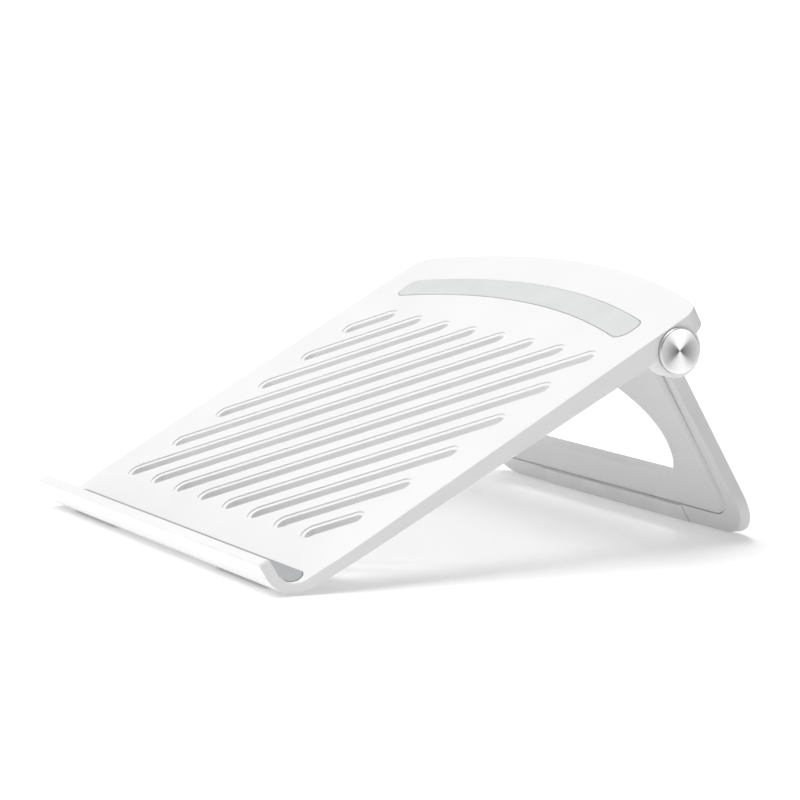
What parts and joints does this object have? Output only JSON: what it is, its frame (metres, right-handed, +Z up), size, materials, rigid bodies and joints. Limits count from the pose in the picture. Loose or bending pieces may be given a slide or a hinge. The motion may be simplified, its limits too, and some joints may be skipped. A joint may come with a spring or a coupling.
{
  "type": "laptop stand",
  "caption": "Folding laptop stand: slotted sloping deck with a J-shaped front lip, held up by an arched fold-down leg on two friction hinges.",
  "frame": {"origin": "on the ground, under the middle of the open stand's box", "axes": "+Z up, -Y towards the lip where the laptop's front edge rests, +X along the hinge axis to the stand's right as seen from the lip"},
  "size_m": [0.2436, 0.2514, 0.1154],
  "materials": {
    "white_plastic": "satin white",
    "leg_plastic": "satin white",
    "pale_silicone": "matte pale grey",
    "grey_silicone": "matte grey",
    "spun_metal": "spun face with a bright chamfer",
    "steel": "zinc plated",
    "nylon": "natural nylon"
  },
  "bodies": {
    "deck": {"deck": "white_plastic", "rear_grip_pad": "pale_silicone", "lip_pad": "grey_silicone", "front_grip_right": "grey_silicone", "front_grip_left": "grey_silicone", "hinge_cap_right": "spun_metal", "hinge_cap_left": "spun_metal", "hinge_bolt_right": "steel", "hinge_bolt_left": "steel", "ear_bush_right": "nylon", "ear_bush_left": "nylon", "spring_washer_right": "steel", "spring_washer_left": "steel", "lock_nut_right": "steel", "lock_nut_left": "steel"},
    "leg": {"leg_frame": "leg_plastic", "leg_panel": "leg_plastic", "leg_foot_pad": "pale_silicone", "panel_screw_1": "steel", "panel_screw_2": "steel", "panel_screw_3": "steel", "panel_screw_4": "steel", "friction_washer_right": "nylon", "friction_washer_left": "nylon"}
  },
  "joints": [
    {"name": "leg_fold", "type": "hinge", "parent": "deck", "child": "leg", "pos_m": [0, 0.07131, 0.08886], "axis": [-1, 0, 0], "range_deg": [0, 93]}
  ]
}
